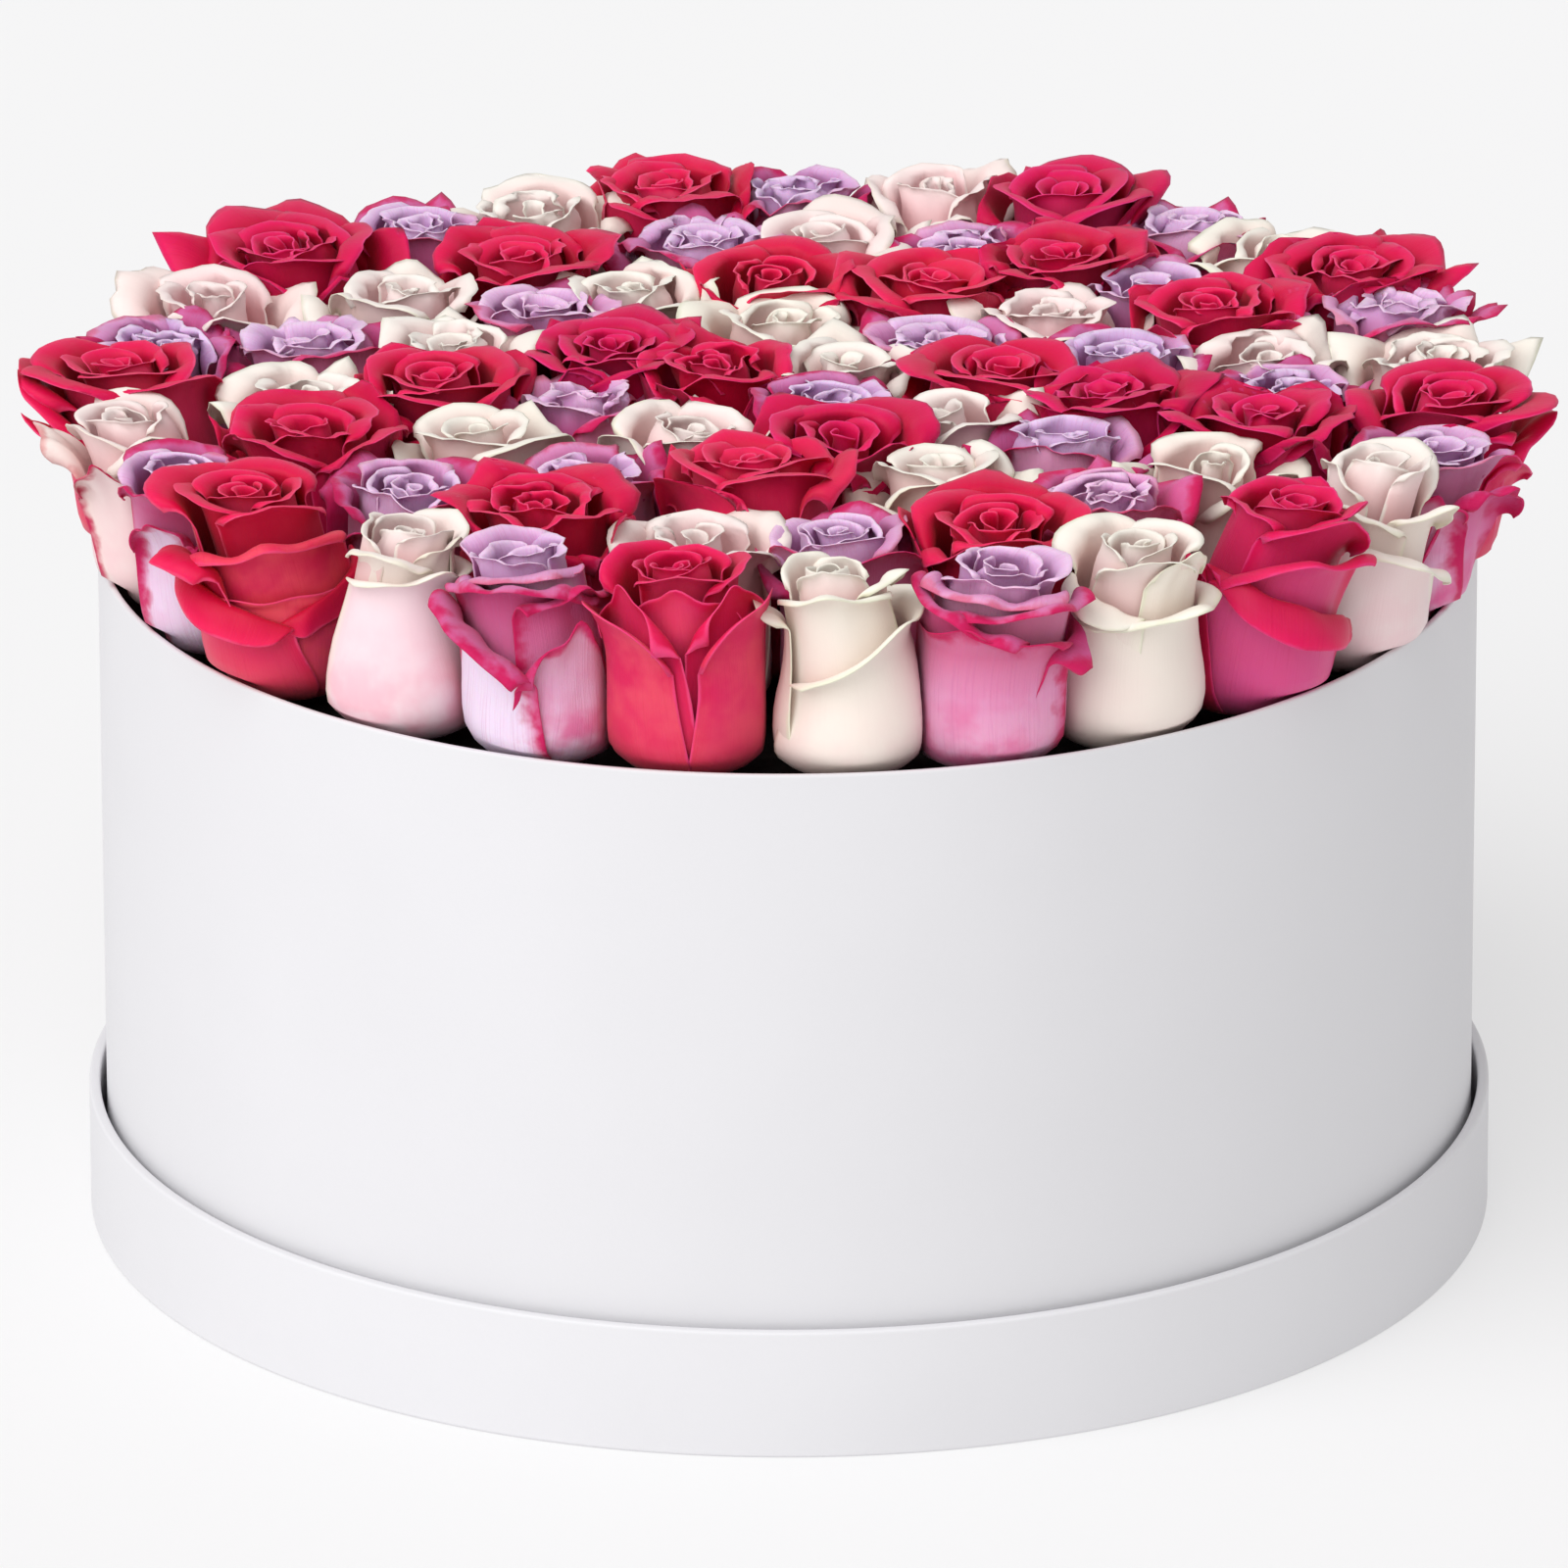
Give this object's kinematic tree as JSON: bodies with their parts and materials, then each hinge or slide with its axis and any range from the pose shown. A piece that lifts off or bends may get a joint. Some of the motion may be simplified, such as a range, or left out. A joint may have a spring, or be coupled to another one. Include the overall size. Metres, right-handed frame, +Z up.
{
  "type": "box of roses",
  "caption": "Round white hat box packed with pink-red, white and lavender roses, standing in its own upturned lid.",
  "frame": {"origin": "middle of the underside of the upturned lid, on the surface that the box stands on", "axes": "+Z up along the box's axis, -Y towards the front of the picture's view, +X to its right"},
  "size_m": [0.5009, 0.4787, 0.2955],
  "materials": {
    "white_card": "satin",
    "black_film": "satin",
    "dark_foam": "matte",
    "red_petals": "matte",
    "white_petals": "matte",
    "lavender_petals": "matte"
  },
  "bodies": {
    "root": {"box_base": "white_card", "box_wall": "white_card", "floral_foam": "dark_foam", "lid_band": "white_card", "lid_panel": "white_card", "liner_film": "black_film", "rose_lavender_01": "lavender_petals", "rose_lavender_02": "lavender_petals", "rose_lavender_03": "lavender_petals", "rose_lavender_04": "lavender_petals", "rose_lavender_05": "lavender_petals", "rose_lavender_06": "lavender_petals", "rose_lavender_07": "lavender_petals", "rose_lavender_08": "lavender_petals", "rose_lavender_09_17": "lavender_petals", "rose_lavender_10": "lavender_petals", "rose_lavender_11": "lavender_petals", "rose_lavender_12_19": "lavender_petals", "rose_lavender_13": "lavender_petals", "rose_lavender_14": "lavender_petals", "rose_lavender_15": "lavender_petals", "rose_lavender_16": "lavender_petals", "rose_lavender_18": "lavender_petals", "rose_lavender_20_23": "lavender_petals", "rose_lavender_21": "lavender_petals", "rose_lavender_22": "lavender_petals", "rose_lavender_24": "lavender_petals", "rose_red_01": "red_petals", "rose_red_02": "red_petals", "rose_red_03": "red_petals", "rose_red_04": "red_petals", "rose_red_05_14": "red_petals", "rose_red_06": "red_petals", "rose_red_07": "red_petals", "rose_red_08": "red_petals", "rose_red_09": "red_petals", "rose_red_10": "red_petals", "rose_red_11": "red_petals", "rose_red_12": "red_petals", "rose_red_13_19_23": "red_petals", "rose_red_15_20_21": "red_petals", "rose_red_16": "red_petals", "rose_red_17": "red_petals", "rose_red_18_22": "red_petals", "rose_red_24_25": "red_petals", "rose_white_01_11": "white_petals", "rose_white_02": "white_petals", "rose_white_03": "white_petals", "rose_white_04": "white_petals", "rose_white_05_13": "white_petals", "rose_white_06_14": "white_petals", "rose_white_07": "white_petals", "rose_white_08_15": "white_petals", "rose_white_09": "white_petals", "rose_white_10_16_21": "white_petals", "rose_white_12": "white_petals", "rose_white_17_22": "white_petals", "rose_white_18_23": "white_petals", "rose_white_19": "white_petals", "rose_white_20_24_25": "white_petals"}
  },
  "joints": []
}
